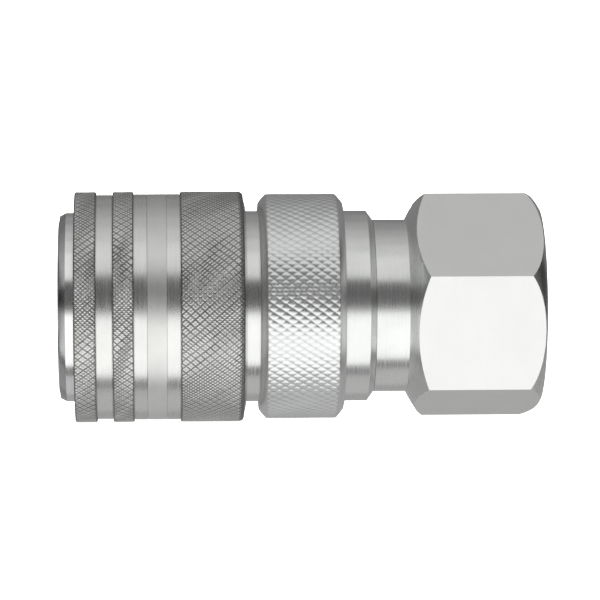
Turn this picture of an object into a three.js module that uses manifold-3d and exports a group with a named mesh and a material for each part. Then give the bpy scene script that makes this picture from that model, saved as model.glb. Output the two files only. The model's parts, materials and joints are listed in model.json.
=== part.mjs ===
// Quick disconnect coupler: a single shut-off, ball-locking socket with a knurled release sleeve,
// a knurled lock collar behind it and a hexagonal rear adapter with a female G 3/4 port.
//
// Millimetres, +Z up. The coupler lies along X: the socket mouth faces -X and the port faces +X.
// The origin is on the axis, halfway along the length.
//
// Every shape is first written with its station, the distance behind the front face, and the
// radius from the axis. onAxis() puts it in the part's frame.

import * as THREE from "three";
import { mergeVertices } from "three/addons/utils/BufferGeometryUtils.js";
import Module from "manifold-3d";

// ---------------------------------------------------------------- driving dimensions

const LENGTH = 86.1;
const ACROSS_FLATS = 36;
const HEX_CORNER_R = ACROSS_FLATS / Math.sqrt(3);
const HEX_CLOCKING = 13.9; // degrees from -Y up to the nearest corner, where the thread came tight

const ROUND = 36; // facets of a large turned surface
const SMALL_ROUND = 24; // facets of a small one
const TOUCH = 0.05; // gap left where two flat faces bear on each other
const BREAK = 0.3; // chamfer that breaks a machined edge

// release sleeve
const SLEEVE_FRONT = 2.85;
const SLEEVE_REAR = 33.3;
const SLEEVE_REAR_R = 18; // where the dished rear face starts
const KNURL_R = 20.68;
const GROOVE_R = 20.1; // plain ring between the two narrow knurls
const PLAIN_R = 20.22; // plain ring that carries the marking band
const NARROW_KNURL_1 = [SLEEVE_FRONT, 6.75];
const NARROW_KNURL_2 = [9.65, 13.4];
const WIDE_KNURL_START = 21.65;

// barrel: the ball cage in front, the full diameter behind
const CAGE_R = 15.5;
const BARREL_R = 17.1;
const BARREL_SHOULDER = 29;
const BARREL_REAR = 56.1;
const BARREL_CHAMFER = 1.1;
const SOCKET_R = 12.6;
const MOUTH_R = 14.1;
const MOUTH_DEPTH = 1.5;
const CHAMBER_R = 13.0;
const GUIDE_BORE_R = 14.0;
const BARREL_THREAD_R = 14.6;
const CHAMBER_REAR = 42;
const THREAD_FRONT = 49.5;
const SEAT_HOLE_R = 9.8;
const SEAT_FRONT = 24;
const SEAT_EDGE = 25.5;
const SEAT_REAR = 28.6;
const PLUG_SEAL_STATION = 18.6;
const PLUG_SEAL_ORBIT = 13.5;
const PLUG_SEAL_CORD_R = 1.05;
const PLUG_SEAL_GROOVE = [17.2, 20];
const PLUG_SEAL_GROOVE_R = 14.6;

// locking balls and the cam in the sleeve that holds them in
const BALL_COUNT = 12;
const BALL_R = 1.984; // 5/32 inch
const BALL_STATION = 12.2;
const BALL_PROTRUSION = 1.2; // into the socket, at rest
const BALL_ORBIT = SOCKET_R - BALL_PROTRUSION + BALL_R;
const WINDOW_R = 2.14; // of the hole that a ball slides in
const WINDOW_MOUTH_R = 1.78; // at the bore, too small for the ball to fall through
const WINDOW_TAPER = 0.6;
const LAND_R = 15.78;
const LAND_FRONT = BALL_STATION - 0.14;
const LAND_REAR = 16;
const RELIEF_R = 16.75;
const LIP_R = 15.68;
const LIP_FRONT = 6.15;
const LIP_REAR = 7.3;
const SPRING_CHAMBER_R = 17.4;
const WASHER_FRONT = LAND_REAR + TOUCH;
const WASHER_REAR = WASHER_FRONT + 1;
const WASHER_BORE_R = 15.65;
const WASHER_R = 17.2;
const SLEEVE_SPRING = { orbit: 16.48, wireRadius: 0.7, coils: 5 };

// ring that stops the sleeve at the front, and the wire that holds it on the barrel
const NOSE_R = 16.9;
const NOSE_EDGE_R = 15.85;
const NOSE_FRONT = 0.2;
const NOSE_BEVEL = 1.1;
const NOSE_GAP = 0.2; // all round, to the sleeve
const NOSE_REAR = 6.1;
const WIRE_R = 0.7;
const WIRE_STATION = 2;
const WIRE_GROOVE_R = 14.75;
const WIRE_RECESS_R = 16.25;

// lock collar
const COLLAR_FRONT = 35.65;
const COLLAR_REAR = 50.7;
const COLLAR_R = 20.18;
const COLLAR_FACE_R = 18.6;
const COLLAR_CHAMFER = 1.35;
const COLLAR_BORE_R = 17.4;
const DRAG_RING_STATION = 39.6;
const DRAG_RING_CORD_R = 0.6;

// shut-off valve
const CROWN_FRONT = 21.4;
const CROWN_R = 9.3;
const CROWN_BORE_R = 7.4;
const CROWN_FLOOR = 25;
const CROWN_REAR = 25.8;
const CROWN_SLOTS = 3; // each slot cuts the crown twice, so it leaves six posts
const SLOT_WIDTH = 3.8;
const VALVE_SEAL_STATION = 27.45;
const VALVE_SEAL_ORBIT = 10.3;
const VALVE_SEAL_CORD_R = 1;
const FLANGE_REAR = 30.2;
const FLANGE_R = 11.4;
const SPRING_PILOT_R = 5;
const SPRING_PILOT_LENGTH = 1;
const STEM_R = 3;
const STEM_REAR = 47.5;
const GUIDE_REAR = 46.1;
const GUIDE_R = 13.8;
const GUIDE_RING_R = 11.2; // inside of its outer ring
const GUIDE_HUB_R = 4.6;
const GUIDE_HOLE_R = 3.2;
const GUIDE_ARMS = 3;
const GUIDE_ARM_WIDTH = 3;
const VALVE_SPRING = { orbit: 6.5, wireRadius: 0.6, coils: 4 };

// rear adapter
const ADAPTER_FRONT = 46.2;
const ADAPTER_NOSE_R = 13.7;
const ADAPTER_THREAD_R = 14.3;
const ADAPTER_THREAD_REAR = 55.2;
const ADAPTER_BORE_R = 10;
const ADAPTER_SEAL_STATION = 47.8;
const ADAPTER_SEAL_ORBIT = 13.15;
const ADAPTER_SEAL_CORD_R = 0.75;
const ADAPTER_SEAL_GROOVE = [46.9, 48.7];
const ADAPTER_SEAL_GROOVE_R = 12.35;
const NECK_R = 15.45;
const HEX_FRONT = 62;
const HEX_FRONT_CHAMFER = 3.4;
const HEX_FRONT_BULGE = 0.15; // how far the turned chamfer bows out of a straight cone
const HEX_REAR_CHAMFER = 3;
const HEX_REAR_BULGE = 0.28;
const HEX_FACE_R = 17.4; // flat ring left on the rear face
const PORT_MINOR_R = 12.06; // G 3/4: 24.117 mm minor diameter
const PORT_RELIEF_R = 13.4;
const PORT_DEPTH = 18;

// ---------------------------------------------------------------- tools

const wasm = await Module();
wasm.setup();

/** Turns geometry made round Y, with its stations along Y, to lie along X in the part's frame. */
function onAxis(geometry) {
  return geometry.rotateZ(-Math.PI / 2).translate(-LENGTH / 2, 0, 0);
}

/** A solid of revolution from [station, radius] pairs that run round its section. */
function turned(section, facets = ROUND) {
  const outline = section.map(([station, radius]) => new THREE.Vector2(radius, station));
  outline.push(outline[0].clone());
  return onAxis(new THREE.LatheGeometry(outline, facets));
}

/** A solid disc or cone stack whose section starts and ends on the axis. */
function turnedSolid(section, facets = ROUND) {
  const first = [section[0][0], 0];
  const last = [section[section.length - 1][0], 0];
  const outline = [first, ...section, last].map(([s, r]) => new THREE.Vector2(r, s));
  return onAxis(new THREE.LatheGeometry(outline, facets));
}

/** A bowed edge from one [station, radius] to another that rises by bulge halfway. */
function bowed([station1, radius1], [station2, radius2], bulge, steps = 4) {
  const [along, up] = [station2 - station1, radius2 - radius1];
  const length = Math.hypot(along, up);
  return Array.from({ length: steps + 1 }, (_, i) => {
    const t = i / steps;
    const rise = 4 * t * (1 - t) * bulge;
    return [
      station1 + t * along - (rise * up) / length,
      radius1 + t * up + (rise * along) / length,
    ];
  });
}

/** A ring of round cord, such as an O-ring. */
function cordRing(station, orbit, cordRadius, facets = ROUND, cordFacets = 8) {
  const section = [];
  for (let i = 0; i < cordFacets; i += 1) {
    const angle = -((i + 0.5) / cordFacets) * 2 * Math.PI;
    section.push([station + cordRadius * Math.sin(angle), orbit + cordRadius * Math.cos(angle)]);
  }
  return turned(section.reverse(), facets);
}

/** A closed three.js geometry as a manifold-3d solid. */
function toSolid(geometry) {
  const bare = geometry.index ? geometry.toNonIndexed() : geometry.clone();
  bare.deleteAttribute("normal");
  bare.deleteAttribute("uv");
  const merged = mergeVertices(bare, 1e-4);
  return new wasm.Manifold(
    new wasm.Mesh({
      numProp: 3,
      vertProperties: merged.attributes.position.array,
      triVerts: new Uint32Array(merged.index.array),
    }),
  );
}

/** A manifold-3d solid as a three.js geometry. */
function toGeometry(solid) {
  const mesh = solid.getMesh();
  const positions = new Float32Array(mesh.numVert * 3);
  for (let i = 0; i < mesh.numVert; i += 1) {
    positions.set(mesh.vertProperties.subarray(i * mesh.numProp, i * mesh.numProp + 3), i * 3);
  }
  return new THREE.BufferGeometry()
    .setAttribute("position", new THREE.BufferAttribute(positions, 3))
    .setIndex(new THREE.BufferAttribute(mesh.triVerts, 1));
}

function cut(geometry, ...cutters) {
  return toGeometry(cutters.reduce((solid, c) => solid.subtract(toSolid(c)), toSolid(geometry)));
}

/** A compression spring whose end coils close up against the faces it pushes on. */
class SpringCurve extends THREE.Curve {
  constructor(front, rear, orbit, wireRadius, coils) {
    super();
    Object.assign(this, { front, rear, orbit, wireRadius, coils });
  }

  getPoint(t) {
    const angle = t * this.coils * 2 * Math.PI;
    const closed = 1 / this.coils; // share of the curve in one closed end coil
    const endRise = (2 * this.wireRadius * 1.05) / (this.rear - this.front - 2 * this.wireRadius);
    const middleRise = (1 - 2 * endRise) / (1 - 2 * closed);
    let share = endRise + (t - closed) * middleRise;
    if (t < closed) share = (t / closed) * endRise;
    if (t > 1 - closed) share = 1 - ((1 - t) / closed) * endRise;
    const low = this.front + this.wireRadius;
    const station = low + share * (this.rear - this.wireRadius - low);
    return new THREE.Vector3(
      station - LENGTH / 2,
      this.orbit * Math.cos(angle),
      this.orbit * Math.sin(angle),
    );
  }
}

function spring(front, rear, { orbit, wireRadius, coils }, stepsPerCoil) {
  const wire = new THREE.Shape();
  const sides = 5;
  for (let i = 0; i < sides; i += 1) {
    const angle = (i / sides) * 2 * Math.PI;
    const [x, y] = [wireRadius * Math.cos(angle), wireRadius * Math.sin(angle)];
    if (i === 0) wire.moveTo(x, y);
    else wire.lineTo(x, y);
  }
  wire.closePath();
  return new THREE.ExtrudeGeometry(wire, {
    steps: Math.round(coils * stepsPerCoil),
    curveSegments: 1,
    extrudePath: new SpringCurve(front, rear, orbit, wireRadius, coils),
  });
}

// ---------------------------------------------------------------- materials

const finish = (color, roughness, metalness = 1) =>
  new THREE.MeshStandardMaterial({ color, roughness, metalness });

const barrelSteel = finish(0xc6c8c6, 0.3);
const sleeveSteel = finish(0xb4b6b3, 0.4);
const collarSteel = finish(0xd4d6d4, 0.35);
const adapterSteel = finish(0xd8d8d5, 0.4);
const springSteel = finish(0x9a9c9e, 0.35);
const ballSteel = finish(0xd0d2d4, 0.12);
const brass = finish(0xb7963f, 0.35);
const rubber = finish(0x1b1b1c, 0.7, 0);

// ---------------------------------------------------------------- barrel group

/** The barrel: ball cage, plug seal groove, valve seat, valve chamber and rear thread. */
function barrel() {
  const halfGroove = WIRE_R + 0.1;
  const [plugSealFront, plugSealRear] = PLUG_SEAL_GROOVE;
  const shell = turned([
    // outside, front to rear
    [0, MOUTH_R],
    [0, CAGE_R - BREAK],
    [BREAK, CAGE_R],
    [WIRE_STATION - halfGroove, CAGE_R],
    [WIRE_STATION - halfGroove, WIRE_GROOVE_R],
    [WIRE_STATION + halfGroove, WIRE_GROOVE_R],
    [WIRE_STATION + halfGroove, CAGE_R],
    [BARREL_SHOULDER, CAGE_R],
    [BARREL_SHOULDER, BARREL_R],
    [BARREL_REAR - BARREL_CHAMFER, BARREL_R],
    [BARREL_REAR, NECK_R + 0.1],
    // inside, rear to front
    [BARREL_REAR, BARREL_THREAD_R],
    [THREAD_FRONT, BARREL_THREAD_R],
    [THREAD_FRONT, GUIDE_BORE_R],
    [CHAMBER_REAR, GUIDE_BORE_R],
    [CHAMBER_REAR, CHAMBER_R],
    [SEAT_REAR, CHAMBER_R],
    [SEAT_EDGE, SEAT_HOLE_R],
    [SEAT_FRONT, SEAT_HOLE_R],
    [SEAT_FRONT, SOCKET_R],
    [plugSealRear, SOCKET_R],
    [plugSealRear, PLUG_SEAL_GROOVE_R],
    [plugSealFront, PLUG_SEAL_GROOVE_R],
    [plugSealFront, SOCKET_R],
    [MOUTH_DEPTH, SOCKET_R],
  ]);
  return cut(shell, ...ballAngles().map(ballWindow));
}

/** Angles about X from straight up, one for each ball. */
function ballAngles() {
  return Array.from({ length: BALL_COUNT }, (_, i) => (i / BALL_COUNT) * 2 * Math.PI);
}

/** The hole that a ball sits in: parallel outside, tapering at the bore so the ball can't drop in. */
function ballWindow(angle) {
  const outline = [
    [SOCKET_R - WINDOW_TAPER, 0],
    [SOCKET_R - WINDOW_TAPER, WINDOW_MOUTH_R],
    [SOCKET_R + WINDOW_TAPER, WINDOW_R],
    [CAGE_R + WINDOW_TAPER, WINDOW_R],
    [CAGE_R + WINDOW_TAPER, 0],
  ].map(([height, radius]) => new THREE.Vector2(radius, height));
  return new THREE.LatheGeometry(outline, 14)
    .rotateX(Math.PI / 2 + angle)
    .translate(BALL_STATION - LENGTH / 2, 0, 0);
}

/** The ring that the wire holds on the barrel; its front edge is bevelled in one bowed sweep. */
function noseRing() {
  const bore = CAGE_R + 0.1;
  const wireRear = WIRE_STATION + WIRE_R + TOUCH;
  return turned([
    [NOSE_FRONT, WIRE_RECESS_R],
    ...bowed([NOSE_FRONT, NOSE_R - 0.6], [NOSE_FRONT + NOSE_BEVEL, NOSE_R], 0.1),
    [NOSE_REAR, NOSE_R],
    [NOSE_REAR, NOSE_EDGE_R],
    [NOSE_REAR - BREAK, bore],
    [wireRear, bore],
    [wireRear, WIRE_RECESS_R],
  ]);
}

// ---------------------------------------------------------------- sleeve group

function sleeve() {
  const rearEdge = [SLEEVE_REAR - 0.3, KNURL_R - 0.75];
  return turned([
    // outside, front to rear
    [SLEEVE_FRONT, NOSE_R + NOSE_GAP],
    [SLEEVE_FRONT, KNURL_R - BREAK],
    [SLEEVE_FRONT + BREAK, KNURL_R],
    [NARROW_KNURL_1[1], KNURL_R],
    [NARROW_KNURL_1[1], GROOVE_R],
    [NARROW_KNURL_2[0], GROOVE_R],
    [NARROW_KNURL_2[0], KNURL_R],
    [NARROW_KNURL_2[1], KNURL_R],
    [NARROW_KNURL_2[1], PLAIN_R],
    [WIDE_KNURL_START, PLAIN_R],
    [WIDE_KNURL_START, KNURL_R],
    ...bowed([SLEEVE_REAR - 1.3, KNURL_R], rearEdge, 0.2),
    [SLEEVE_REAR, SLEEVE_REAR_R],
    // inside, rear to front
    [SLEEVE_REAR, SPRING_CHAMBER_R],
    [LAND_REAR, SPRING_CHAMBER_R],
    [LAND_REAR, LAND_R],
    [LAND_FRONT, LAND_R],
    [LAND_FRONT - (RELIEF_R - LAND_R), RELIEF_R],
    [LIP_REAR, RELIEF_R],
    [LIP_REAR, LIP_R],
    [LIP_FRONT, LIP_R],
    [LIP_FRONT, NOSE_R + NOSE_GAP],
  ]);
}

function springWasher() {
  return turned([
    [WASHER_FRONT, WASHER_BORE_R],
    [WASHER_FRONT, WASHER_R],
    [WASHER_REAR, WASHER_R],
    [WASHER_REAR, WASHER_BORE_R],
  ]);
}

// ---------------------------------------------------------------- lock collar group

function lockCollar() {
  const grooveR = BARREL_R + 2 * DRAG_RING_CORD_R + 0.2;
  const halfGroove = DRAG_RING_CORD_R + 0.1;
  const bulge = 0.04;
  return turned([
    [COLLAR_FRONT, COLLAR_BORE_R],
    ...bowed([COLLAR_FRONT, COLLAR_FACE_R], [COLLAR_FRONT + COLLAR_CHAMFER, COLLAR_R], bulge),
    ...bowed([COLLAR_REAR - COLLAR_CHAMFER, COLLAR_R], [COLLAR_REAR, COLLAR_FACE_R], bulge),
    [COLLAR_REAR, COLLAR_BORE_R],
    [DRAG_RING_STATION + halfGroove, COLLAR_BORE_R],
    [DRAG_RING_STATION + halfGroove, grooveR],
    [DRAG_RING_STATION - halfGroove, grooveR],
    [DRAG_RING_STATION - halfGroove, COLLAR_BORE_R],
  ]);
}

// ---------------------------------------------------------------- valve group

function poppet() {
  const sealFront = VALVE_SEAL_STATION - VALVE_SEAL_CORD_R - 0.05;
  const sealRear = VALVE_SEAL_STATION + VALVE_SEAL_CORD_R + 0.05;
  const grooveR = VALVE_SEAL_ORBIT - VALVE_SEAL_CORD_R - 0.05;
  const body = turnedSolid(
    [
      [CROWN_FLOOR, CROWN_BORE_R],
      [CROWN_FRONT, CROWN_BORE_R],
      [CROWN_FRONT, CROWN_R - BREAK],
      [CROWN_FRONT + BREAK, CROWN_R],
      [CROWN_REAR, CROWN_R],
      [CROWN_REAR, CROWN_R + 0.5],
      [sealFront, CROWN_R + 0.6],
      [sealFront, grooveR],
      [sealRear, grooveR],
      [sealRear, FLANGE_R],
      [FLANGE_REAR - BREAK, FLANGE_R],
      [FLANGE_REAR, FLANGE_R - BREAK],
      [FLANGE_REAR, SPRING_PILOT_R],
      [FLANGE_REAR + SPRING_PILOT_LENGTH, SPRING_PILOT_R - BREAK],
      [FLANGE_REAR + SPRING_PILOT_LENGTH, STEM_R],
      [STEM_REAR - BREAK, STEM_R],
      [STEM_REAR, STEM_R - BREAK],
    ],
    SMALL_ROUND,
  );
  const slots = Array.from({ length: CROWN_SLOTS }, (_, i) => {
    const slotDepth = CROWN_FLOOR - CROWN_FRONT;
    const slot = new THREE.BoxGeometry(slotDepth, 2 * CROWN_R + 4, SLOT_WIDTH);
    slot.translate(CROWN_FRONT + slotDepth / 2 - 0.01 - LENGTH / 2, 0, 0);
    return slot.rotateX((i / CROWN_SLOTS) * Math.PI);
  });
  return cut(body, ...slots);
}

/** The spider that centres the poppet's stem: an outer ring, three arms and a bored hub. */
function valveGuide() {
  const front = CHAMBER_REAR + TOUCH;
  const disc = new THREE.Shape().absarc(0, 0, GUIDE_R, 0, 2 * Math.PI);
  disc.holes.push(new THREE.Path().absarc(0, 0, GUIDE_HOLE_R, 0, 2 * Math.PI));
  for (let i = 0; i < GUIDE_ARMS; i += 1) {
    const middle = ((i + 0.5) / GUIDE_ARMS) * 2 * Math.PI;
    const outerHalf = Math.PI / GUIDE_ARMS - GUIDE_ARM_WIDTH / 2 / GUIDE_RING_R;
    const innerHalf = Math.PI / GUIDE_ARMS - GUIDE_ARM_WIDTH / 2 / GUIDE_HUB_R;
    const window = new THREE.Path();
    window.absarc(0, 0, GUIDE_RING_R, middle - outerHalf, middle + outerHalf, false);
    window.absarc(0, 0, GUIDE_HUB_R, middle + innerHalf, middle - innerHalf, true);
    window.closePath();
    disc.holes.push(window);
  }
  return new THREE.ExtrudeGeometry(disc, {
    depth: GUIDE_REAR - front,
    bevelEnabled: false,
    curveSegments: 12,
  })
    .rotateY(Math.PI / 2)
    .translate(front - LENGTH / 2, 0, 0);
}

// ---------------------------------------------------------------- rear adapter

/** Hexagon, neck and male thread in one piece, bored through, with the female port behind. */
function adapter() {
  const [sealFront, sealRear] = ADAPTER_SEAL_GROOVE;
  const barR = HEX_CORNER_R + 0.1;
  const envelope = turnedSolid([
    [HEX_FRONT, NECK_R - 0.2],
    ...bowed([HEX_FRONT, NECK_R], [HEX_FRONT + HEX_FRONT_CHAMFER, barR], HEX_FRONT_BULGE),
    ...bowed([LENGTH - HEX_REAR_CHAMFER, barR], [LENGTH, HEX_FACE_R], HEX_REAR_BULGE),
  ]);
  const prism = onAxis(
    new THREE.CylinderGeometry(HEX_CORNER_R, HEX_CORNER_R, LENGTH, 6).translate(0, LENGTH / 2, 0),
  ).rotateX(-Math.PI / 2 - THREE.MathUtils.degToRad(HEX_CLOCKING));
  const shank = turnedSolid([
    [ADAPTER_FRONT, ADAPTER_NOSE_R - BREAK],
    [ADAPTER_FRONT + BREAK, ADAPTER_NOSE_R],
    [sealFront, ADAPTER_NOSE_R],
    [sealFront, ADAPTER_SEAL_GROOVE_R],
    [sealRear, ADAPTER_SEAL_GROOVE_R],
    [sealRear, ADAPTER_NOSE_R],
    [THREAD_FRONT + 0.2, ADAPTER_NOSE_R],
    [THREAD_FRONT + 0.5, ADAPTER_THREAD_R],
    [ADAPTER_THREAD_REAR, ADAPTER_THREAD_R],
    [ADAPTER_THREAD_REAR, ADAPTER_NOSE_R],
    [BARREL_REAR + TOUCH, ADAPTER_NOSE_R],
    [BARREL_REAR + TOUCH, NECK_R],
    [HEX_FRONT + 1, NECK_R],
  ]);
  const portFloor = LENGTH - PORT_DEPTH;
  const bore = turnedSolid([
    [ADAPTER_FRONT - 1, ADAPTER_BORE_R],
    [portFloor - 3.5, ADAPTER_BORE_R],
    [portFloor - 2, PORT_RELIEF_R],
    [portFloor, PORT_RELIEF_R],
    [portFloor + 1.2, PORT_MINOR_R],
    [LENGTH - 1.5, PORT_MINOR_R],
    [LENGTH + 0.5, PORT_MINOR_R + 2],
  ]);
  const hexagon = toSolid(envelope).intersect(toSolid(prism));
  return toGeometry(hexagon.add(toSolid(shank)).subtract(toSolid(bore)));
}

// ---------------------------------------------------------------- assembly

const coupler = new THREE.Group();

function add(name, geometry, material, parent = coupler) {
  const mesh = new THREE.Mesh(geometry, material);
  mesh.name = name;
  parent.add(mesh);
  return mesh;
}

const plugSeal = cordRing(PLUG_SEAL_STATION, PLUG_SEAL_ORBIT, PLUG_SEAL_CORD_R);
const noseWire = cordRing(WIRE_STATION, CAGE_R + 0.02, WIRE_R, ROUND, 6);
const adapterSeal = cordRing(
  ADAPTER_SEAL_STATION,
  ADAPTER_SEAL_ORBIT,
  ADAPTER_SEAL_CORD_R,
  ROUND,
  6,
);
add("barrel", barrel(), barrelSteel);
add("nose_ring", noseRing(), barrelSteel);
add("nose_ring_wire", noseWire, springSteel);
add("plug_seal", plugSeal, rubber);
add("adapter", adapter(), adapterSteel);
add("adapter_seal", adapterSeal, rubber);
add("valve_guide", valveGuide(), brass);

const sleeveSpring = spring(WASHER_REAR + TOUCH, BARREL_SHOULDER - TOUCH, SLEEVE_SPRING, 20);
add("sleeve", sleeve(), sleeveSteel);
add("spring_washer", springWasher(), springSteel);
add("sleeve_spring", sleeveSpring, springSteel);

const dragRingOrbit = BARREL_R + DRAG_RING_CORD_R + 0.06;
const dragRing = cordRing(DRAG_RING_STATION, dragRingOrbit, DRAG_RING_CORD_R, ROUND, 6);
add("lock_collar", lockCollar(), collarSteel);
add("collar_drag_ring", dragRing, rubber);

const valveSeal = cordRing(VALVE_SEAL_STATION, VALVE_SEAL_ORBIT, VALVE_SEAL_CORD_R, SMALL_ROUND);
const valveSpring = spring(FLANGE_REAR + TOUCH, CHAMBER_REAR, VALVE_SPRING, 12);
add("poppet", poppet(), brass);
add("poppet_seal", valveSeal, rubber);
add("valve_spring", valveSpring, springSteel);

ballAngles().forEach((angle, i) => {
  const ball = add(`ball_${i + 1}`, new THREE.IcosahedronGeometry(BALL_R, 1), ballSteel);
  ball.position.set(
    BALL_STATION - LENGTH / 2,
    -BALL_ORBIT * Math.sin(angle),
    BALL_ORBIT * Math.cos(angle),
  );
});

export default coupler;
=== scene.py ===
"""Looks of a quick disconnect coupler: a knurled release sleeve, a coarse-knurled lock collar and a
hexagonal rear adapter on a turned barrel, with the balls, springs, valve and seals inside.

Outlines are in millimetres as [station, radius] or [station, radius, rounding]. The station is the
distance behind the front face, the radius is from the coupler's axis.
"""

import json
import math

import bmesh
import bpy
import numpy as np
from mathutils import Matrix, Vector


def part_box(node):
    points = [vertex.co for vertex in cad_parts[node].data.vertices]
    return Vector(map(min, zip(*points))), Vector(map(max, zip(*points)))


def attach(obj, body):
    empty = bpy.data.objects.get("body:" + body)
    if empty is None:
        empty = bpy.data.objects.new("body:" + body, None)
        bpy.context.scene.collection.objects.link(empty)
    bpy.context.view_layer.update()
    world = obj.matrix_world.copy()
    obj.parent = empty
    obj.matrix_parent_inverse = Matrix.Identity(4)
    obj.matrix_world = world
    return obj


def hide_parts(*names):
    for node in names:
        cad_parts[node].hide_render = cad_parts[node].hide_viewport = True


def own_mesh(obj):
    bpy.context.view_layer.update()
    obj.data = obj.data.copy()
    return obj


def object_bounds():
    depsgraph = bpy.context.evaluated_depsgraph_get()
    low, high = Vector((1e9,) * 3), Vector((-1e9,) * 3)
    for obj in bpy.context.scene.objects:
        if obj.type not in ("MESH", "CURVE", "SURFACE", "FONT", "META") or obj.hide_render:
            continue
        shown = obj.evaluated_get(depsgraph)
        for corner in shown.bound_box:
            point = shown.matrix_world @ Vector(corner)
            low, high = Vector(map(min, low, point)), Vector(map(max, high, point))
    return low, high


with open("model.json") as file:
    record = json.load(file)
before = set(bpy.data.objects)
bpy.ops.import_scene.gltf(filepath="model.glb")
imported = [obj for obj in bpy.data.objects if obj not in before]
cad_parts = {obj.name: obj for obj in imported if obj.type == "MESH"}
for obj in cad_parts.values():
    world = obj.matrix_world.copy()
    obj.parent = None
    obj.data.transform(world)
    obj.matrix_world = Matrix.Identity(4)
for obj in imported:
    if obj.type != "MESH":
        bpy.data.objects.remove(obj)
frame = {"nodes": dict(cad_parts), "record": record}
CAD_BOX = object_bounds()

MM = 0.001
EDGE = 0.12  # rounding of an ordinary machined edge
ROUND = 256  # segments of a large turned surface
SEAL_ROUND = 160  # segments of a cord ring or a small turned part
WIRE_SIDES = 14
BODY_OF = {n: body for body, nodes in frame["record"]["behaviour"]["bodies"].items() for n in nodes}
BALLS = sum(1 for name in frame["nodes"] if name.startswith("ball_"))
BALL_R = 1.984


def span(node):
    """Stations of a node's front and rear, and its outer radius, in millimetres."""
    low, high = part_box(node)
    return (low.x - FRONT) / MM, (high.x - FRONT) / MM, high.z / MM


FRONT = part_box("barrel")[0].x

# knurls: the length of a diamond along the axis and round it, its depth and its mesh steps
FINE_PITCH = (1.69, 1.48)
FINE_DEPTH = 0.14
FINE_CELLS = 12
COARSE_PITCH = (2.1, 1.45)
COARSE_DEPTH = 0.13
COARSE_CELLS = 10
WANDER = 0.05  # how far the grooves wander from their places, in diamonds
KNURL_FLOOR = 0.8  # a knurl's ring reaches this far down, inside the turned body below it
# pipe thread of the port, G 3/4
THREAD_PITCH = 1.814
THREAD_DEPTH = 1.162
THREAD_MAJOR_R = 13.222
# adapter
HEX_FRONT = 62
HEX_FLATS = 36
HEX_CLOCKING = math.radians(13.9)
NECK_R = 15.45
ADAPTER_BORE_R = 10
PORT_LENGTH = 18


# ---------------------------------------------------------------- meshes


def rounded(outline):
    """A closed outline with its corners rounded."""
    steps = 3
    count = len(outline)
    out = []
    for i, point in enumerate(outline):
        here = Vector(point[:2])
        before = Vector(outline[i - 1][:2]) - here
        after = Vector(outline[(i + 1) % count][:2]) - here
        radius = point[2] if len(point) > 2 else EDGE
        turn = math.pi - before.angle(after)
        if radius == 0 or turn < math.radians(8):
            out.append(here)
            continue
        reach = radius * math.tan(turn / 2)
        reach = min(reach, 0.45 * before.length, 0.45 * after.length)
        start = here + before.normalized() * reach
        end = here + after.normalized() * reach
        for k in range(steps + 1):
            t = k / steps
            out.append(start * (1 - t) ** 2 + here * 2 * t * (1 - t) + end * t * t)
    return out


def bowed(start, end, bulge):
    """Points of an edge that bows outwards by bulge halfway between two [station, radius] points."""
    steps = 6
    start, end = Vector(start), Vector(end)
    side = Vector((start.y - end.y, end.x - start.x)).normalized()
    shares = [k / steps for k in range(steps + 1)]
    return [start.lerp(end, t) + side * (4 * t * (1 - t) * bulge) for t in shares]


class Shell:
    """Vertices in millimetres and faces, gathered into one mesh."""

    def __init__(self):
        self.points = []
        self.faces = []
        self.count = 0

    def add(self, points, faces):
        self.points.append(np.asarray(points, float))
        self.faces.extend([[corner + self.count for corner in face] for face in faces])
        self.count += len(points)

    def lathe(self, outline, segments=ROUND):
        """Adds the surface that an outline makes as it turns about the axis."""
        ring = rounded(outline)
        angle = np.arange(segments) / segments * 2 * math.pi
        station = np.array([p[0] for p in ring])
        radius = np.array([p[1] for p in ring])
        points = on_axis(station[:, None], radius[:, None], angle[None, :])
        self.add(points, grid_faces(len(ring), segments).tolist())

    def mesh(self, name):
        data = bpy.data.meshes.new(name)
        data.from_pydata((np.concatenate(self.points) * MM).tolist(), [], self.faces)
        work = bmesh.new()
        work.from_mesh(data)
        bmesh.ops.recalc_face_normals(work, faces=work.faces)
        work.to_mesh(data)
        work.free()
        return data


def on_axis(station, radius, angle):
    """Points at stations behind the front face; the angle is from straight up, about +X."""
    shape = np.broadcast_shapes(np.shape(station), np.shape(radius), np.shape(angle))
    x = np.broadcast_to(FRONT / MM + station, shape)
    y = np.broadcast_to(-radius * np.sin(angle), shape)
    z = np.broadcast_to(radius * np.cos(angle), shape)
    return np.stack([x, y, z], -1).reshape(-1, 3)


def grid_faces(rows, columns, close_rows=True):
    """Quads of a grid that closes on itself along its columns, and along its rows if asked."""
    row = np.arange(rows if close_rows else rows - 1)[:, None]
    column = np.arange(columns)[None, :]
    here = row * columns + column
    beside = row * columns + (column + 1) % columns
    above = ((row + 1) % rows) * columns + column
    diagonal = ((row + 1) % rows) * columns + (column + 1) % columns
    return np.stack([here, beside, diagonal, above], -1).reshape(-1, 4)


def tube(path, radius):
    """Points and faces of a closed tube along a list of points."""
    path = np.asarray(path)
    ahead = np.gradient(path, axis=0)
    ahead /= np.linalg.norm(ahead, axis=1)[:, None]
    out = path * [0, 1, 1]
    out /= np.linalg.norm(out, axis=1)[:, None]
    side = np.cross(ahead, out)
    side /= np.linalg.norm(side, axis=1)[:, None]
    out = np.cross(side, ahead)
    angle = np.arange(WIRE_SIDES) / WIRE_SIDES * 2 * math.pi
    ring = np.cos(angle)[None, :, None] * out[:, None, :] + np.sin(angle)[None, :, None] * side[:, None, :]
    points = (path[:, None, :] + radius * ring).reshape(-1, 3)
    return points, capped(len(path), WIRE_SIDES)


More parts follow.
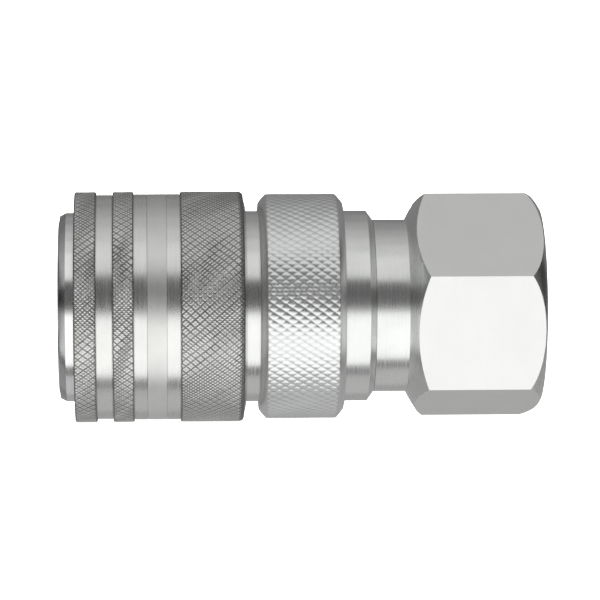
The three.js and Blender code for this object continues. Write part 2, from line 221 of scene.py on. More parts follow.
def capped(rows, sides):
    """Faces of a tube of rows rings of points, closed at both ends."""
    faces = grid_faces(rows, sides, close_rows=False).tolist()
    last = (rows - 1) * sides
    return faces + [list(range(sides))[::-1], [last + k for k in range(sides)]]


def placed(name, mesh, body, material, sharp):
    """Makes a smooth object with its finish that rides on a body."""
    piece = bpy.data.objects.new(name, mesh)
    bpy.context.scene.collection.objects.link(piece)
    mesh.polygons.foreach_set("use_smooth", [True] * len(mesh.polygons))
    mesh.set_sharp_from_angle(angle=math.radians(sharp))
    mesh.materials.append(MATERIALS[material])
    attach(piece, body)
    return piece


def finish(name, mesh, node, material, sharp=35, weighted=True):
    """Makes the first object of a part, which stands in place of its CAD node."""
    piece = placed(name, mesh, BODY_OF[node], material, sharp)
    if weighted:
        normals = piece.modifiers.new("weighted", "WEIGHTED_NORMAL")
        normals.keep_sharp = True
    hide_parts(node)
    return piece


def apply_modifiers(piece):
    """Bakes a piece's modifiers into its mesh."""
    bpy.context.view_layer.update()
    evaluated = piece.evaluated_get(bpy.context.evaluated_depsgraph_get())
    baked = bpy.data.meshes.new_from_object(evaluated)
    piece.modifiers.clear()
    piece.data = baked


def carve(mesh, cutters, operation="DIFFERENCE"):
    """The mesh after a boolean with the cutter mesh."""
    piece = bpy.data.objects.new("carved", mesh)
    tool = bpy.data.objects.new("cutter", cutters)
    for item in (piece, tool):
        bpy.context.scene.collection.objects.link(item)
    boolean = piece.modifiers.new("carve", "BOOLEAN")
    boolean.operation = operation
    boolean.object = tool
    boolean.solver = "EXACT"
    apply_modifiers(piece)
    carved = piece.data
    for item in (piece, tool):
        bpy.data.objects.remove(item)
    return carved


# ---------------------------------------------------------------- knurls


def fine_diamond(u, v, slip_u, slip_v):
    """Height from 0 to 1 of four small pyramids with blunt tips.

    The roll has slipped by half a diamond, so a second groove runs down each middle.
    Its depth changes from place to place with slip_u and slip_v, from -1 to 1.
    """
    flank_u = np.abs((2 * u + 0.5) % 1 - 0.5) * 2
    flank_v = np.abs((2 * v + 0.5) % 1 - 0.5) * 2
    missing_u = np.where(np.abs(u - 0.5) < 0.25, 0.25 - 0.25 * slip_u, 0)
    missing_v = np.where(np.abs(v - 0.5) < 0.25, 0.25 - 0.25 * slip_v, 0)
    rise_u = missing_u + (1 - missing_u) * flank_u
    rise_v = missing_v + (1 - missing_v) * flank_v
    return np.minimum(rise_u, rise_v) ** 0.7


def coarse_diamond(u, v, slip_u, slip_v):
    """Height from 0 to 1 of rounded cushions; one roll has cut deeper than the other."""
    deep = np.sin(np.pi * v) ** (0.55 + 0.1 * slip_v)
    light = np.sin(np.pi * u) ** 0.5
    share = 0.8 + 0.15 * slip_u
    return deep * (1 - share + share * light)


def slow_wave(rng, a, b, rows, around):
    """A smooth random field from about -1 to 1 that closes round the ring."""
    turn = b / around * 2 * math.pi
    total = 0
    for _ in range(5):
        along, waves, shift = rng.uniform(1, 7), rng.integers(2, 15), rng.uniform(0, 6)
        total = total + np.sin(a / rows * along + waves * turn + shift)
    return np.clip(total / 2.2, -1, 1)


def knurl_height(rng, a, b, cells, shape):
    """Height from 0 to 1 at rows a and columns b of a knurl whose grooves are where u or v is 0."""
    rows, around = len(a) - 1, b.shape[1]
    slip_u = slow_wave(rng, a, b, rows, around)
    slip_v = slow_wave(rng, a, b, rows, around)
    wander_u = WANDER * slow_wave(rng, a, b, rows, around)
    wander_v = WANDER * slow_wave(rng, a, b, rows, around)
    u = ((a + b) / cells + wander_u) % 1
    v = ((a - b) / cells + wander_v) % 1
    height = shape(u, v, slip_u, slip_v)
    uneven = 0.15 * np.abs(slow_wave(rng, a, b, rows, around))
    return np.clip(height * (1 - uneven) + rng.normal(0, 0.02, height.shape), 0, 1)


def split_quads(quads, height):
    """Triangles of the quads, split along the level diagonal where the height is known."""
    split_first = np.ones(len(quads), bool)
    inside = quads.max(1) < len(height)
    q = quads[inside]
    falls = np.abs(height[q[:, 0]] - height[q[:, 2]]), np.abs(height[q[:, 1]] - height[q[:, 3]])
    split_first[inside] = falls[0] <= falls[1]
    first = quads[split_first]
    second = quads[~split_first]
    return np.concatenate(
        [first[:, [0, 1, 2]], first[:, [0, 2, 3]], second[:, [1, 2, 3]], second[:, [1, 3, 0]]]
    )


def knurl(shell, ends, top, depth, pitch, cells, shape, seed, edges):
    """A ring of diamonds between two stations, closed underneath, whose ends are rounded off.

    cells is the number of mesh steps across one diamond. edges gives the length and the drop of
    the rounding at the front and at the rear.
    """
    around = round(2 * math.pi * top / pitch[1]) * cells
    rows = round((ends[1] - ends[0]) / (pitch[0] / cells))
    a = np.arange(rows + 1)[:, None]
    b = np.arange(around)[None, :]
    height = knurl_height(np.random.default_rng(seed), a, b, cells, shape)
    station = ends[0] + (ends[1] - ends[0]) * a / rows
    crown = np.full(station.shape, float(top))
    for distance, (length, drop) in zip((station - ends[0], ends[1] - station), edges):
        outside = np.clip(1 - distance / length, 0, 1)
        crown = crown - drop * (1 - np.sqrt(1 - outside**2))
    turn = b / around * 2 * math.pi
    outer = on_axis(station, crown - depth * (1 - height), turn)
    inner = on_axis(np.array([[ends[1]], [ends[0]]]), top - KNURL_FLOOR, turn)
    triangles = split_quads(grid_faces(rows + 3, around), height.ravel())
    shell.add(np.concatenate([outer, inner]), triangles.tolist())


# ---------------------------------------------------------------- materials


class Nodes:
    """A material's node tree with short ways to add and join nodes."""

    def __init__(self, name):
        self.material = bpy.data.materials.new(name)
        self.material.use_nodes = True
        self.tree = self.material.node_tree
        self.shader = self.tree.nodes["Principled BSDF"]
        coordinates = self.tree.nodes.new("ShaderNodeTexCoord")
        self.place = coordinates.outputs["Object"]

    def link(self, source, target):
        self.tree.links.new(source, target)

    def stretched(self, scale):
        mapping = self.tree.nodes.new("ShaderNodeMapping")
        mapping.inputs["Scale"].default_value = scale
        self.link(self.place, mapping.inputs["Vector"])
        return mapping.outputs["Vector"]

    def noise(self, vector, scale=1.0, detail=2.0, roughness=0.5):
        node = self.tree.nodes.new("ShaderNodeTexNoise")
        node.inputs["Scale"].default_value = scale
        node.inputs["Detail"].default_value = detail
        node.inputs["Roughness"].default_value = roughness
        self.link(vector, node.inputs["Vector"])
        return node.outputs["Fac"]

    def ranged(self, value, low, high, source=(0.3, 0.7)):
        node = self.tree.nodes.new("ShaderNodeMapRange")
        node.inputs["From Min"].default_value = source[0]
        node.inputs["From Max"].default_value = source[1]
        node.inputs["To Min"].default_value = low
        node.inputs["To Max"].default_value = high
        self.link(value, node.inputs["Value"])
        return node.outputs["Result"]

    def blend(self, factor, first, second):
        node = self.tree.nodes.new("ShaderNodeMix")
        node.data_type = "RGBA"
        self.link(factor, node.inputs["Factor"])
        node.inputs["A"].default_value = (*first, 1)
        node.inputs["B"].default_value = (*second, 1)
        return node.outputs["Result"]

    def radius(self):
        """Distance from the coupler's axis."""
        node = self.tree.nodes.new("ShaderNodeVectorMath")
        node.operation = "LENGTH"
        self.link(self.stretched((0, 1, 1)), node.inputs[0])
        return node.outputs["Value"]

    def scaled(self, colour, factor):
        node = self.tree.nodes.new("ShaderNodeVectorMath")
        node.operation = "SCALE"
        self.link(colour, node.inputs[0])
        self.link(factor, node.inputs["Scale"])
        return node.outputs["Vector"]

    def bump(self, height, distance, under=None):
        node = self.tree.nodes.new("ShaderNodeBump")
        node.inputs["Strength"].default_value = 1
        node.inputs["Distance"].default_value = distance
        self.link(height, node.inputs["Height"])
        if under is not None:
            self.link(under, node.inputs["Normal"])
        return node.outputs["Normal"]


# cycles per metre along the axis and across it
LINES = (14000, 60, 60)
BROAD_LINES = (2500, 25, 25)


def metal(name, colour, roughness, lines=1.0, grain=0.0, tint=0.93, grooves=None):
    """Plated steel. lines is the depth of the turning lines, grain of a fine satin texture.

    grooves gives two radii in millimetres and a factor for painted shade in a knurl's grooves:
    below the first radius the colour is darkened by the factor, above the second it is full.
    """
    n = Nodes(name)
    n.shader.inputs["Metallic"].default_value = 1
    turning = n.noise(n.stretched(LINES), 1, 3, 0.6)
    broad = n.noise(n.stretched(BROAD_LINES), 1, 2, 0.5)
    cloud = n.noise(n.place, 180, 4, 0.55)
    n.link(n.ranged(turning, roughness[0], roughness[1]), n.shader.inputs["Roughness"])
    dull = tuple(c * tint for c in colour)
    tone = n.blend(n.ranged(cloud, 0, 1), dull, colour)
    # painted shade: the colour darkens towards the bottoms of a knurl's grooves
    if grooves:
        low, high, factor = grooves
        tone = n.scaled(tone, n.ranged(n.radius(), factor, 1, (low * MM, high * MM)))
    n.link(tone, n.shader.inputs["Base Color"])
    normal = n.bump(turning, 0.000006 * lines)
    normal = n.bump(broad, 0.000012 * lines, under=normal)
    if grain:
        pits = n.noise(n.place, 5200, 3, 0.6)
        normal = n.bump(pits, 0.000008 * grain, under=normal)
    n.link(normal, n.shader.inputs["Normal"])
    return n.material


def polished(name, colour, roughness):
    """Ground and polished steel, such as a bearing ball."""
    n = Nodes(name)
    n.shader.inputs["Metallic"].default_value = 1
    haze = n.noise(n.place, 900, 4, 0.6)
    n.link(n.ranged(haze, roughness, roughness * 1.8), n.shader.inputs["Roughness"])
    dull = tuple(c * 0.94 for c in colour)
    n.link(n.blend(n.ranged(haze, 0, 1), dull, colour), n.shader.inputs["Base Color"])
    return n.material


def rubber(name):
    """Black rubber with a faint grey bloom."""
    n = Nodes(name)
    black, grey = (0.011, 0.011, 0.012), (0.026, 0.026, 0.027)
    bloom = n.noise(n.place, 700, 4, 0.6)
    n.link(n.ranged(bloom, 0.45, 0.7), n.shader.inputs["Roughness"])
    n.link(n.blend(n.ranged(bloom, 0, 1), black, grey), n.shader.inputs["Base Color"])
    n.link(n.bump(n.noise(n.place, 6000, 2), 0.000008), n.shader.inputs["Normal"])
    n.shader.inputs["Specular IOR Level"].default_value = 0.4
    return n.material


ZINC = (0.72, 0.73, 0.715)
# painted shade in the knurls' grooves: radii in millimetres below which the colour is darkened by the
# factor and above which it is full
FINE_GROOVE_SHADE = (20.55, 20.62, 0.27)
COARSE_GROOVE_SHADE = (20.03, 20.11, 0.66)
MATERIALS = {
    "barrel_steel": metal("barrel_steel", ZINC, (0.16, 0.3)),
    "nose_steel": metal("nose_steel", (0.8, 0.81, 0.8), (0.13, 0.24)),
    "sleeve_steel": metal("sleeve_steel", (0.7, 0.705, 0.685), (0.17, 0.33)),
    "knurl_steel": metal("knurl_steel", (0.72, 0.725, 0.705), (0.3, 0.42), 0.2, 1.0, 0.85, FINE_GROOVE_SHADE),
    # a darker copy of the nose steel for the nose ring's forward bevel: painted shade
    "bevel_painted_shade_steel": metal("bevel_painted_shade_steel", (0.4, 0.41, 0.41), (0.16, 0.26)),
    "band_steel": metal("band_steel", (0.68, 0.68, 0.665), (0.34, 0.44), lines=0.5, grain=0.6),
    "collar_steel": metal("collar_steel", (0.72, 0.725, 0.715), (0.24, 0.36), lines=0.6),
    "cushion_steel": metal(
        "cushion_steel", (0.76, 0.77, 0.765), (0.28, 0.38), 0.1, 0.6, 0.94, COARSE_GROOVE_SHADE
    ),
    "adapter_steel": metal("adapter_steel", ZINC, (0.16, 0.32)),
    "chamfer_steel": metal("chamfer_steel", ZINC, (0.2, 0.32), lines=0.5),
    "hex_steel": metal("hex_steel", (0.72, 0.725, 0.71), (0.3, 0.42), lines=0.1, grain=1.0, tint=0.97),
    "spring_steel": metal("spring_steel", (0.42, 0.43, 0.44), (0.2, 0.35), lines=0.2, grain=0.5),
    "ball_steel": polished("ball_steel", (0.78, 0.79, 0.8), 0.05),
    "valve_brass": metal("valve_brass", (0.72, 0.53, 0.22), (0.2, 0.34)),
    "seal_rubber": rubber("seal_rubber"),
}


# ---------------------------------------------------------------- barrel group


def barrel():
    front, rear, radius = span("barrel")
    wire = span("nose_ring_wire")
    mouth, cage, cage_rear = 14.1, 15.5, 29
    wire_groove = cage - 0.75
    bore, seal_groove, throat, chamber, counterbore = 12.6, 14.7, 9.8, 13, 14
    shell = Shell()
    shell.lathe([
        [front, mouth],
        [front, cage - 0.25],
        [0.25, cage],
        [wire[0] - 0.1, cage],
        [wire[0] - 0.1, wire_groove],
        [wire[1] + 0.1, wire_groove],
        [wire[1] + 0.1, cage],
        [cage_rear, cage],
        [cage_rear, radius],
        [rear - 1.1, radius, 0.2],
        [rear, 15.55, 0.1],
        [rear, counterbore + 0.5],
        [42, counterbore],
        [42, chamber],
        [28.6, chamber],
        [25.5, throat],
        [24, throat, 0.2],
        [24, bore],
        [20, bore],
        [20, seal_groove, 0.05],
        [17.2, seal_groove, 0.05],
        [17.2, bore],
        [1.5, bore, 0.4],
    ])
    cutters = Shell()
    for k in range(BALLS):
        ball_window(cutters, k)
    mesh = carve(shell.mesh("barrel"), cutters.mesh("windows"))
    finish("barrel_turned", mesh, "barrel", "barrel_steel")


def ball_window(shell, k):
    """A tapered drill through the barrel's wall, standing on the axis at ball k."""
    angle = k / BALLS * 2 * math.pi
    low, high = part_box("ball_1")
    x = (low.x + high.x) / 2 / MM
    drill = ((12.0, 1.6), (12.6, 1.79), (13.2, 2.08), (16.2, 2.08))  # height and radius
    sides = 40
    ring = np.arange(sides) / sides * 2 * math.pi
    points = []
    for height, radius in drill:
        along, across = radius * np.cos(ring), radius * np.sin(ring)
        y = -height * math.sin(angle) + across * math.cos(angle)
        z = height * math.cos(angle) + across * math.sin(angle)
        points.append(np.stack([x + along, y, z], 1))
    shell.add(np.concatenate(points), capped(len(drill), sides))


def nose_ring():
    front, rear, radius = span("nose_ring")
    bevel, drop, bulge = 1.15, 0.6, 0.02
    recess_rear, recess, seat = 2.8, 16.25, 15.65
    shell = Shell()
    shell.lathe([
        [front, recess, 0],
        *bowed([front, radius - drop], [front + bevel, radius], bulge),
        [rear, radius],
        [rear, seat + 0.15],
        [recess_rear, seat],
        [recess_rear, recess],
    ])
    mesh = shell.mesh("nose_ring")
    finish("nose_ring_turned", mesh, "nose_ring", "nose_steel", sharp=12)
    mesh.materials.append(MATERIALS["bevel_painted_shade_steel"])
    # faces turned towards the front take the darker copy of the steel: painted shade on the bevel
    for polygon in mesh.polygons:
        polygon.material_index = 1 if -0.95 < polygon.normal.x < -0.2 else 0


def cord(node):
    """A ring of round cord in place of a CAD ring whose section is an octagon."""
    front, rear, radius = span(node)
    thick = (rear - front) / 2 / math.cos(math.pi / 8)
    middle = (front + rear) / 2
    bead = thick * 0.97  # inside the octagon's corners
    sides = 24
    angle = np.arange(sides) / sides * 2 * math.pi
    outline = [[middle - bead * math.sin(t), radius - thick + bead * math.cos(t), 0] for t in angle]
    shell = Shell()
    shell.lathe(outline, SEAL_ROUND)
    finish(node + "_moulded", shell.mesh(node), node, "seal_rubber", sharp=60)


def snap_wire():
    """An open ring of spring wire whose ends leave a gap to prise it out by."""
    front, rear, radius = span("nose_ring_wire")
    thick = (rear - front) / 2
    half_gap = math.radians(9)
    turn = np.linspace(half_gap, 2 * math.pi - half_gap, 140)
    path = on_axis(np.full(len(turn), (front + rear) / 2), radius - thick, turn)
    shell = Shell()
    shell.add(*tube(path, thick * 0.98))
    finish("snap_wire", shell.mesh("snap_wire"), "nose_ring_wire", "spring_steel")


# ---------------------------------------------------------------- sleeve group


def band_root(station, plain, deeper, side):
    """Outline of the thin undercut where a knurled band ends; side is 1 if the band is in front."""
    points = [
        [station - 0.06 * side, deeper, 0],
        [station - 0.06 * side, plain - 0.1, 0],
        [station + 0.1 * side, plain - 0.1, 0],
        [station + 0.13 * side, plain, 0],
    ]
    return points[::side]


def sleeve():
    front, rear, top = span("sleeve")
    top -= 0.02
    bands = [(front, 6.75), (9.65, 13.4), (21.65, rear - 0.4)]
    groove, plain = 20.08, 20.2
    root = top - FINE_DEPTH - 0.08
    front_bore, land, ball_groove, sliding_bore, rear_bore = 17.1, 15.68, 16.75, 15.78, 17.4
    shell = Shell()
    shell.lathe([
        [front + 0.05, front_bore],
        [front + 0.05, root, 0.05],
        *band_root(bands[0][1], groove, root, 1),
        *band_root(bands[1][0], groove, root, -1),
        *band_root(bands[1][1], plain, root, 1),
        *scored_line(15.77, plain, 0.07, 0.1),
        *scored_line(19.24, plain, 0.06, 0.06),
        *band_root(bands[2][0], plain, root, -1),
        [rear - 1.3, root],
        [rear - 0.45, root - 0.6, 0.1],
        [rear, 18, 0.1],
        [rear, rear_bore],
        [16, rear_bore],
        [16, sliding_bore],
        [12.06, sliding_bore, 0.05],
        [11.09, ball_groove],
        [7.3, ball_groove],
        [7.3, land],
        [6.15, land],
        [6.15, front_bore],
    ])
    body = shell.mesh("sleeve")
    finish("sleeve_turned", body, "sleeve", "sleeve_steel")
    body.materials.append(MATERIALS["band_steel"])
    paint(body, 1, (15.85, 19.17), 20)
    sleeve_knurl("narrow_knurls", bands[:2], top, 0, (0.4, 0.2))
    sleeve_knurl("wide_knurl", bands[2:], top, 3, (1.1, 0.6))


def scored_line(station, plain, half, depth):
    """Outline of a fine scored line in a plain surface."""
    return [[station - half, plain, 0], [station, plain - depth, 0], [station + half, plain, 0]]


def sleeve_knurl(name, bands, top, seed, rear_edge):
    """Fine knurled bands of the sleeve, each from its own seed."""
    shell = Shell()
    edges = ((0.4, 0.2), rear_edge)
    for k, band in enumerate(bands):
        knurl(shell, band, top, FINE_DEPTH, FINE_PITCH, FINE_CELLS, fine_diamond, seed + k, edges)
    placed(name, shell.mesh(name), BODY_OF["sleeve"], "knurl_steel", 20)


def paint(mesh, index, stations, above):
    """Gives a material to the faces outside a radius between two stations."""
    for face in mesh.polygons:
        centre = face.center
        station = (centre.x - FRONT) / MM
        if stations[0] < station < stations[1] and math.hypot(centre.y, centre.z) / MM > above:
            face.material_index = index


def washer():
    front, rear, radius = span("spring_washer")
    bore = 15.65
    shell = Shell()
    shell.lathe([[front, bore], [front, radius], [rear, radius], [rear, bore]])
    finish("washer_turned", shell.mesh("washer"), "spring_washer", "spring_steel")


def coil(node, wire, coils):
    """A compression spring with closed ends.

    wire is the radius of the wire.
    """
    front, rear, radius = span(node)
    length = rear - front - 2 * wire
    turns = np.linspace(0, 1, coils * 44)
    closed = 1 / coils
    rise = 2 * wire * 1.04 / length
    middle = rise + (turns - closed) * (1 - 2 * rise) / (1 - 2 * closed)
    share = np.where(turns < closed, turns / closed * rise, middle)
    share = np.where(turns > 1 - closed, 1 - (1 - turns) / closed * rise, share)
    station = front + wire + share * length
    path = on_axis(station, radius - wire, turns * coils * 2 * math.pi)
    shell = Shell()
    shell.add(*tube(path, wire))
    mesh = shell.mesh(node)
    piece = finish(node + "_wire", mesh, node, "spring_steel", weighted=False)
    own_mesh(piece)


# ---------------------------------------------------------------- collar


def collar():
    front, rear, top = span("lock_collar")
    top -= 0.02
    bevel, face, bulge, bore = 1.35, 18.6, 0.04, 17.2
    brim = top - 0.06
    root = top - COARSE_DEPTH - 0.08
    inner = (front + bevel - 0.12, rear - bevel + 0.12)
    shell = Shell()
    shell.lathe([
        [front, bore],
        *bowed([front, face], [inner[0] + 0.04, brim], bulge),
        [inner[0] + 0.05, root, 0],
        [inner[1] - 0.05, root, 0],
        *bowed([inner[1] - 0.04, brim], [rear, face], bulge),
        [rear, bore],
    ])
    finish("collar_turned", shell.mesh("collar"), "lock_collar", "collar_steel")
    knurled = Shell()
    edges = ((0.5, 0.08), (0.5, 0.08))
    knurl(knurled, inner, top, COARSE_DEPTH, COARSE_PITCH, COARSE_CELLS, coarse_diamond, 4, edges)
    mesh = knurled.mesh("collar_knurl")
    placed("collar_knurl", mesh, BODY_OF["lock_collar"], "cushion_steel", 50)


# ---------------------------------------------------------------- adapter


def hexagon():
    """The nut of the adapter: a hexagonal prism inside a turned envelope with chamfered ends."""
    rear = span("adapter")[1]
    corner = HEX_FLATS / math.sqrt(3)
    face = 17.4
    port = rear - PORT_LENGTH
    hollow = Shell()
    hollow.lathe([
        [HEX_FRONT, NECK_R - 0.4, 0],
        *bowed([HEX_FRONT, NECK_R], [HEX_FRONT + 3.4, corner + 0.1], 0.15),
        *bowed([rear - 3, corner + 0.1], [rear, face], 0.28),
        [rear, THREAD_MAJOR_R + 0.6, 0],
        [rear - 1.2, THREAD_MAJOR_R - 0.1, 0],
        [port, THREAD_MAJOR_R - 0.1, 0],
        [port - 1.2, THREAD_MAJOR_R, 0],
        [port - 2.2, ADAPTER_BORE_R, 0],
        [HEX_FRONT, ADAPTER_BORE_R, 0],
    ])
    mesh = carve(hex_prism(corner, HEX_FRONT - 1, rear + 1), hollow.mesh("envelope"), "INTERSECT")
    piece = finish("adapter_hexagon", mesh, "adapter", "hex_steel", 25, weighted=False)
    mesh.materials.append(MATERIALS["chamfer_steel"])
    for polygon in mesh.polygons:
        polygon.material_index = 1 if abs(polygon.normal.x) > 0.2 else 0
    bevel = piece.modifiers.new("edges", "BEVEL")
    bevel.width = EDGE * MM
    bevel.segments = 2
    bevel.limit_method = "ANGLE"
    bevel.angle_limit = math.radians(25)
    normals = piece.modifiers.new("weighted", "WEIGHTED_NORMAL")
    normals.keep_sharp = False


def neck():
    """The shank of the adapter: spigot with its seal groove, shoulder and neck."""
    front = span("adapter")[0]
    spigot, seal_groove = 13.7, 12.4
    shell = Shell()
    shell.lathe([
        [front, ADAPTER_BORE_R],
        [front, spigot],
        [46.9, spigot],
        [46.9, seal_groove],
        [48.7, seal_groove],
        [48.7, spigot],
        [55.2, spigot + 0.6],
        [55.2, spigot],
        [56.15, spigot],
        [56.15, NECK_R, 0.05],
        [HEX_FRONT + 0.3, NECK_R, 0],
        [HEX_FRONT + 0.3, ADAPTER_BORE_R, 0],
    ])
    mesh = shell.mesh("adapter_neck")
    placed("adapter_neck", mesh, BODY_OF["adapter"], "adapter_steel", 35)


def port_thread():
    rear = span("adapter")[1]
    shell = Shell()
    shell.add(*thread_ridge(rear - PORT_LENGTH + 0.4, rear - 0.9, THREAD_MAJOR_R))
    mesh = shell.mesh("port_thread")
    placed("port_thread", mesh, BODY_OF["adapter"], "adapter_steel", 40)


def hex_prism(corner, front, rear):
    """A closed prism that is longer than the nut."""
    angle = [math.pi / 2 - HEX_CLOCKING + k * math.pi / 3 for k in range(6)]
    shell = Shell()
    points = on_axis(np.array([[front], [rear]]), corner, np.array([angle]))
    faces = grid_faces(2, 6, close_rows=False).tolist() + [[5, 4, 3, 2, 1, 0], [6, 7, 8, 9, 10, 11]]
    shell.add(points, faces)
    return shell.mesh("prism")


def thread_ridge(front, rear, major):
    """The helical ridge of a 55 degree internal thread, fading in and out at its ends."""
    turns = (rear - front) / THREAD_PITCH
    steps = round(turns * 90)
    along = np.linspace(0, 1, steps)
    fade = np.clip(np.minimum(along, 1 - along) * turns * 1.6, 0.02, 1)
    crest, foot = 0.16, THREAD_PITCH / 2 * 0.98
    section = [
        (-foot, 0.12),
        (-crest, -THREAD_DEPTH),
        (0, -THREAD_DEPTH - 0.04),
        (crest, -THREAD_DEPTH),
        (foot, 0.12),
    ]
    angle = along * turns * 2 * math.pi
    middle = front + along * (rear - front)
    columns = []
    for offset, height in section:
        inward = np.where(height < 0, height * fade, height)
        columns.append(on_axis(middle + offset * (0.3 + 0.7 * fade), major + inward, angle))
    points = np.stack(columns, 1).reshape(-1, 3)
    return points, capped(steps, len(section))


# ---------------------------------------------------------------- valve


def poppet():
    front, rear, _ = span("poppet")
    stem, rim, waist, head, cup = 3, 9.3, 9.25, 11.4, 7.4
    floor = front + 3.6
    shell = Shell()
    shell.lathe([
        [floor, 0.02, 0],
        [floor, cup, 0.3],
        [front, cup],
        [front, rim, 0.3],
        [25.8, rim],
        [26.4, rim + 0.6],
        [26.4, waist],
        [28.5, waist],
        [28.5, head],
        [30.2, head, 0.4],
        [30.2, 5],
        [31.2, 4.7, 0.3],
        [31.2, stem, 0.3],
        [rear, stem, 0.6],
        [rear, 0.02, 0],
    ], 128)
    cutters = Shell()
    for k in range(6):
        slot_box(cutters, front - 0.5, floor - 0.02, (5.5, 12), 1.9, k * math.pi / 3)
    mesh = carve(shell.mesh("poppet"), cutters.mesh("slots"))
    finish("poppet_turned", mesh, "poppet", "valve_brass")


def slot_box(shell, front, rear, reach, half, angle):
    """A bar that reaches outwards from the axis, turned about it."""
    corners = []
    for station in (front, rear):
        for y, z in ((reach[0], -half), (reach[1], -half), (reach[1], half), (reach[0], half)):
            turned_y = y * math.cos(angle) - z * math.sin(angle)
            turned_z = y * math.sin(angle) + z * math.cos(angle)
            corners.append((FRONT / MM + station, turned_y, turned_z))
    faces = [[0, 1, 2, 3], [7, 6, 5, 4], [0, 4, 5, 1], [1, 5, 6, 2], [2, 6, 7, 3], [3, 7, 4, 0]]
    shell.add(corners, faces)


def guide():
    """The spider: an outer ring, a hub and three arms, each with rounded edges."""
    front, rear, radius = span("valve_guide")
    ring, hub, bore = 11.2, 4.6, 3.2
    shell = Shell()
    shell.lathe([[front, ring, 0.3], [front, radius], [rear, radius], [rear, ring, 0.3]], SEAL_ROUND)
    shell.lathe([[front, bore], [front, hub, 0.3], [rear, hub, 0.3], [rear, bore]], 96)
    for k in range(3):
        angle = math.pi / 2 + (2 * k + 1) * math.pi / 3 + math.pi / 3
        arm(shell, front + 0.3, rear - 0.3, hub - 0.3, ring + 0.4, 1.5, angle)
    finish("guide_cast", shell.mesh("guide"), "valve_guide", "valve_brass")


def arm(shell, front, rear, inner, outer, half, angle):
    """A straight arm with chamfered edges from one radius to another."""
    cut = 0.25
    outline = [
        (front, -half + cut), (front, half - cut), (front + cut, half), (rear - cut, half),
        (rear, half - cut), (rear, -half + cut), (rear - cut, -half), (front + cut, -half),
    ]
    points = []
    for reach in (inner, outer):
        for station, side in outline:
            y = -reach * math.sin(angle) + side * math.cos(angle)
            z = reach * math.cos(angle) + side * math.sin(angle)
            points.append((FRONT / MM + station, y, z))
    shell.add(points, capped(2, len(outline)))


def balls():
    for k in range(BALLS):
        node = f"ball_{k + 1}"
        low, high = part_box(node)
        centre = (low + high) / 2
        place = Matrix.Translation(centre)
        work = bmesh.new()
        bmesh.ops.create_icosphere(work, subdivisions=4, radius=BALL_R * MM, matrix=place)
        mesh = bpy.data.meshes.new(node)
        work.to_mesh(mesh)
        work.free()
        finish(f"{node}_ground", mesh, node, "ball_steel", weighted=False)


# ---------------------------------------------------------------- stage


def glow(name, strength, diffuse=0.0):
    """A matt material that gives off white light."""
    n = Nodes(name)
    n.shader.inputs["Base Color"].default_value = (diffuse, diffuse, diffuse, 1)
    n.shader.inputs["Roughness"].default_value = 1
    n.shader.inputs["Specular IOR Level"].default_value = 0
    n.shader.inputs["Emission Color"].default_value = (1, 1, 1, 1)
    n.shader.inputs["Emission Strength"].default_value = strength
    return n.material


CARD_DISTANCE = 0.9


def strip(name, start, end, radiance, reach=(-1.2, 1.2)):
    """A long card that the metal mirrors, curved round the coupler's axis between two elevations.

    Elevations are seen from the coupler: 0 is towards the camera, 90 is up, -90 is down.
    """
    steps = max(2, round(abs(end - start) / 6))
    points = []
    for k in range(steps + 1):
        angle = math.radians(start + (end - start) * k / steps)
        y, z = -CARD_DISTANCE * math.cos(angle), CARD_DISTANCE * math.sin(angle)
        points += [(reach[0], y, z), (reach[1], y, z)]
    faces = [[2 * k, 2 * k + 1, 2 * k + 3, 2 * k + 2] for k in range(steps)]
    mesh = bpy.data.meshes.new(name)
    mesh.from_pydata(points, [], faces)
    mesh.materials.append(glow(name, radiance))
    card = bpy.data.objects.new(name, mesh)
    bpy.context.scene.collection.objects.link(card)
    card.visible_camera = False
    card.visible_shadow = False
    card.visible_diffuse = False


# what the metal mirrors, from the top behind, over the camera, to the bottom behind
STRIPS = [
    ("top_back", 142, 178, 0.24),
    ("top_far", 120, 141, 0.33),
    ("top", 105, 119, 0.45),
    ("top_near", 89, 104, 0.58),
    ("softbox_edge", 70, 88, 0.74),
    ("softbox", 33, 69, 0.92),
    ("dark_gap", 2, 30, 0.12),
    ("low_softbox", -76, -9, 1.38),
    ("low_gap", -91, -77, 0.2),
    ("bottom", -130, -92, 0.57),
    ("bottom_back", -178, -131, 0.4),
]

# the rest of the room: radiance against height, as the sine of the elevation
ROOM = [
    (-1, 0.5),
    (-0.93, 0.4),
    (-0.85, 0.9),
    (-0.2, 0.95),
    (0.0, 0.12),
    (0.4, 0.12),
    (0.6, 0.5),
    (1, 0.4),
]


def pale_floor():
    """A pale round bowl that the coupler stands in, seen by the camera but not by the metal."""
    floor_z = CAD_BOX[0][2]
    wide, bend, height = 1.6, 0.2, 0.8
    curve = [math.pi / 2 * k / 8 for k in range(9)]
    line = [(0.0001, 0), *((wide - bend + bend * math.sin(t), bend - bend * math.cos(t)) for t in curve)]
    line.append((wide, height))
    around = [k * math.pi / 48 for k in range(96)]
    points = [(r * math.cos(t), r * math.sin(t), floor_z + z) for r, z in line for t in around]
    sweep = bpy.data.meshes.new("sweep")
    sweep.from_pydata(points, [], grid_faces(len(line), len(around), close_rows=False).tolist())
    sweep.materials.append(glow("pale_floor", 0.85, diffuse=0.8))
    floor = bpy.data.objects.new("floor", sweep)
    bpy.context.scene.collection.objects.link(floor)
    floor.visible_glossy = False
    floor.visible_shadow = False


def cards():
    """The strips, and dimmer ones beyond their ends that show in faces turned along the axis."""
    for name, end, start, radiance in STRIPS:
        strip(name, start, end, radiance)
        dimmer = 0.3 * radiance**2.2
        strip(name + "_front_wing", start, end, dimmer, reach=(-3.2, -1.25))
        strip(name + "_rear_wing", start, end, dimmer, reach=(1.25, 3.2))


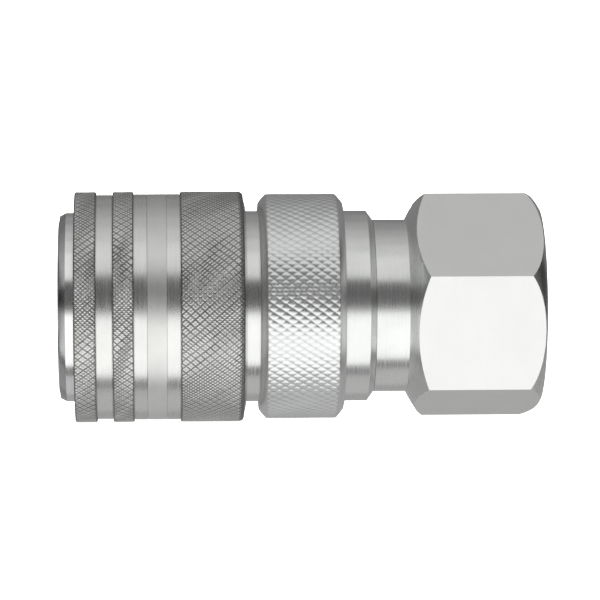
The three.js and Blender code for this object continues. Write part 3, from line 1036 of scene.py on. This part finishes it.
def overhead():
    sun = bpy.data.lights.new("overhead", "SUN")
    sun.energy = 2.5
    sun.angle = math.radians(50)
    lamp = bpy.data.objects.new("overhead", sun)
    bpy.context.scene.collection.objects.link(lamp)
    lamp.rotation_euler = (math.radians(20), 0, 0)
    lamp.visible_glossy = False


def room():
    """A world whose radiance depends on the elevation alone."""
    world = bpy.data.worlds.new("room")
    world.use_nodes = True
    nodes, links = world.node_tree.nodes, world.node_tree.links
    direction = nodes.new("ShaderNodeTexCoord").outputs["Generated"]
    parts = nodes.new("ShaderNodeSeparateXYZ")
    height = nodes.new("ShaderNodeMapRange")
    height.inputs["From Min"].default_value = -1
    ramp = nodes.new("ShaderNodeValToRGB")
    while len(ramp.color_ramp.elements) < len(ROOM):
        ramp.color_ramp.elements.new(0.5)
    for stop, (sine, radiance) in zip(ramp.color_ramp.elements, ROOM):
        stop.position = (sine + 1) / 2
        stop.color = (radiance, radiance, radiance, 1)
    links.new(direction, parts.inputs["Vector"])
    links.new(parts.outputs["Z"], height.inputs["Value"])
    links.new(height.outputs["Result"], ramp.inputs["Fac"])
    links.new(ramp.outputs["Color"], nodes["Background"].inputs["Color"])
    bpy.context.scene.world = world


ROLL = -0.33  # degrees that the camera leans, so the hexagon stands a little higher
EYE = (-0.0262, -0.66, 0.00105)  # beside the sleeve, a little above the axis
AIM = (0.000135, 0, 0.00105)


def camera():
    data = bpy.data.cameras.new("camera")
    data.sensor_width = 36
    data.lens = 220.45
    data.clip_start = 0.01
    eye = bpy.data.objects.new("camera", data)
    bpy.context.scene.collection.objects.link(eye)
    eye.location = EYE
    level = (Vector(AIM) - Vector(EYE)).to_track_quat("-Z", "Y")
    lean = Matrix.Rotation(math.radians(ROLL), 3, "Z").to_quaternion()
    eye.rotation_euler = (level @ lean).to_euler()
    bpy.context.scene.camera = eye


barrel()
nose_ring()
snap_wire()
for seal in ("plug_seal", "adapter_seal", "collar_drag_ring", "poppet_seal"):
    cord(seal)
sleeve()
washer()
coil("sleeve_spring", 0.7, 5)
coil("valve_spring", 0.6, 4)
collar()
hexagon()
neck()
port_thread()
poppet()
guide()
balls()
pale_floor()
cards()
overhead()
room()
camera()
bpy.context.scene.view_settings.view_transform = "Standard"
